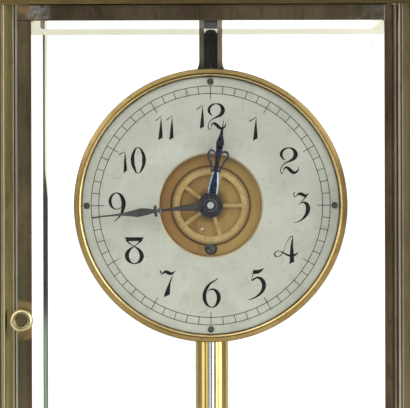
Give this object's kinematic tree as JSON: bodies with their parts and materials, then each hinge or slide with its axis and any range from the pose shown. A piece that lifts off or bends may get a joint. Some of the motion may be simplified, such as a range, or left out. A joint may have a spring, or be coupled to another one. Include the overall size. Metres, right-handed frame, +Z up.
{
  "type": "crystal regulator clock",
  "caption": "Four-glass shelf clock with bevelled glass doors, a ring dial with open wheel work and a coil pendulum over a curved magnet.",
  "frame": {"origin": "the middle of the plinth's underside", "axes": "+Z up, the dial faces -Y, +X to the right as seen from the front"},
  "size_m": [0.226, 0.179, 0.362],
  "materials": {
    "lacquered_brass": "aged lacquered brass, satin with darker patina",
    "aged_brass": "darkened brass door frames, satin",
    "bright_brass": "turned and polished brass",
    "gilt_plate": "gilt brass plate, fine matt grain",
    "gilt_wheel": "gilt brass wheel, matt",
    "silvered": "silvered metal, finely brushed",
    "blued_steel": "blued steel, polished",
    "steel": "polished steel",
    "magnet_steel": "dark bar steel",
    "clear_glass": "clear bevelled glass with a faint green edge",
    "ebonite": "black insulating block, dull",
    "coil_silk": "silk-taped copper winding, matt",
    "zinc_case": "plain wrapped cell",
    "lead_cloth": "cloth-covered wire"
  },
  "bodies": {
    "case": {"plinth": "lacquered_brass", "floor_plate": "lacquered_brass", "bottom_cover": "lacquered_brass", "case_fasteners": "steel", "front_left_post": "lacquered_brass", "front_right_post": "lacquered_brass", "rear_left_post": "lacquered_brass", "rear_right_post": "lacquered_brass", "cornice": "lacquered_brass", "left_side_glass": "clear_glass", "right_side_glass": "clear_glass", "column": "bright_brass", "movement_saddle": "bright_brass", "movement_screws": "blued_steel", "front_plate": "gilt_plate", "back_plate": "gilt_plate", "plate_pillars": "gilt_plate", "dial": "silvered", "dial_screws": "bright_brass", "bezel": "bright_brass", "dial_carrier": "gilt_plate", "click_spring": "blued_steel", "suspension_bracket": "bright_brass", "insulating_block": "ebonite", "suspension_spring": "blued_steel", "magnet": "magnet_steel", "magnet_supports": "bright_brass", "battery": "zinc_case", "battery_leads": "lead_cloth"},
    "front_door": {"front_door_frame": "aged_brass", "front_door_glass": "clear_glass", "front_door_pins": "steel"},
    "front_catch": {"front_door_knob": "lacquered_brass", "front_door_latch": "steel"},
    "rear_door": {"rear_door_frame": "aged_brass", "rear_door_glass": "clear_glass", "rear_door_pins": "steel"},
    "rear_catch": {"rear_door_knob": "lacquered_brass", "rear_door_latch": "steel"},
    "pendulum": {"pendulum_chops": "bright_brass", "pendulum_rod": "steel"},
    "bob": {"bobbin": "ebonite", "coil_winding": "coil_silk", "coil_hanger": "bright_brass"},
    "adjuster": {"rating_nut": "bright_brass"},
    "crutch_lever": {"crutch": "bright_brass"},
    "pawl": {"drive_pawl": "blued_steel"},
    "center_work": {"center_arbor": "steel", "center_wheel": "gilt_wheel", "cannon_wheel": "gilt_wheel", "minute_hand": "blued_steel", "hand_boss": "blued_steel"},
    "minute_work": {"minute_wheel": "gilt_wheel", "minute_pinion": "steel"},
    "hour_work": {"hour_wheel": "gilt_wheel", "hour_hand": "blued_steel"},
    "third_work": {"third_wheel": "gilt_wheel", "third_pinion": "steel"},
    "ratchet_work": {"ratchet_wheel": "gilt_wheel", "ratchet_pinion": "steel"}
  },
  "joints": [
    {"name": "front_door_hinge", "type": "hinge", "parent": "case", "child": "front_door", "pos_m": [0.0867, -0.0735, 0.186], "axis": [0, 0, 1], "range_deg": [0, 95]},
    {"name": "front_catch_turn", "type": "hinge", "parent": "front_door", "child": "front_catch", "pos_m": [-0.0874, -0.0735, 0.186], "axis": [0, 1, 0], "range_deg": [0, 90]},
    {"name": "rear_door_hinge", "type": "hinge", "parent": "case", "child": "rear_door", "pos_m": [-0.0867, 0.0735, 0.186], "axis": [0, 0, 1], "range_deg": [0, 95]},
    {"name": "rear_catch_turn", "type": "hinge", "parent": "rear_door", "child": "rear_catch", "pos_m": [0.0874, 0.0735, 0.186], "axis": [0, -1, 0], "range_deg": [0, 90]},
    {"name": "pendulum_swing", "type": "hinge", "parent": "case", "child": "pendulum", "pos_m": [0.001, -0.0055, 0.3018], "axis": [0, 1, 0], "range_deg": [-6, 6], "deforming": ["suspension_spring"]},
    {"name": "bob_height", "type": "slide", "parent": "pendulum", "child": "bob", "axis": [0, 0, 1], "range_m": [-0.0015, 0.0015]},
    {"name": "rating_nut_turn", "type": "hinge", "parent": "bob", "child": "adjuster", "pos_m": [0.001, -0.0055, 0.1007], "axis": [0, 0, 1], "range_deg": [-1260, 1260]},
    {"name": "crutch_swing", "type": "hinge", "parent": "case", "child": "crutch_lever", "pos_m": [0.001, -0.0055, 0.3018], "axis": [0, 1, 0], "range_deg": [-6, 6]},
    {"name": "pawl_lift", "type": "hinge", "parent": "crutch_lever", "child": "pawl", "pos_m": [-0.005, -0.01, 0.2783], "axis": [0, -1, 0], "range_deg": [0, 20]},
    {"name": "minute_hand_turn", "type": "hinge", "parent": "case", "child": "center_work", "pos_m": [0.001, 0, 0.2398], "axis": [0, 1, 0], "continuous": true},
    {"name": "minute_wheel_turn", "type": "hinge", "parent": "case", "child": "minute_work", "pos_m": [0.001, 0, 0.21936], "axis": [0, 1, 0], "continuous": true},
    {"name": "hour_hand_turn", "type": "hinge", "parent": "case", "child": "hour_work", "pos_m": [0.001, 0, 0.2398], "axis": [0, 1, 0], "continuous": true},
    {"name": "third_wheel_turn", "type": "hinge", "parent": "case", "child": "third_work", "pos_m": [0.01341, 0, 0.25021], "axis": [0, 1, 0], "continuous": true},
    {"name": "ratchet_turn", "type": "hinge", "parent": "case", "child": "ratchet_work", "pos_m": [0.001, 0, 0.25916], "axis": [0, 1, 0], "continuous": true}
  ],
  "couplings": [
    {"joint": "rating_nut_turn", "follows": "bob_height", "rad_per_m": 12566},
    {"joint": "crutch_swing", "follows": "pendulum_swing", "ratio": 1},
    {"joint": "minute_wheel_turn", "follows": "minute_hand_turn", "ratio": -0.66667},
    {"joint": "hour_hand_turn", "follows": "minute_hand_turn", "ratio": 0.083333},
    {"joint": "third_wheel_turn", "follows": "minute_hand_turn", "ratio": -8},
    {"joint": "ratchet_turn", "follows": "minute_hand_turn", "ratio": 60}
  ]
}
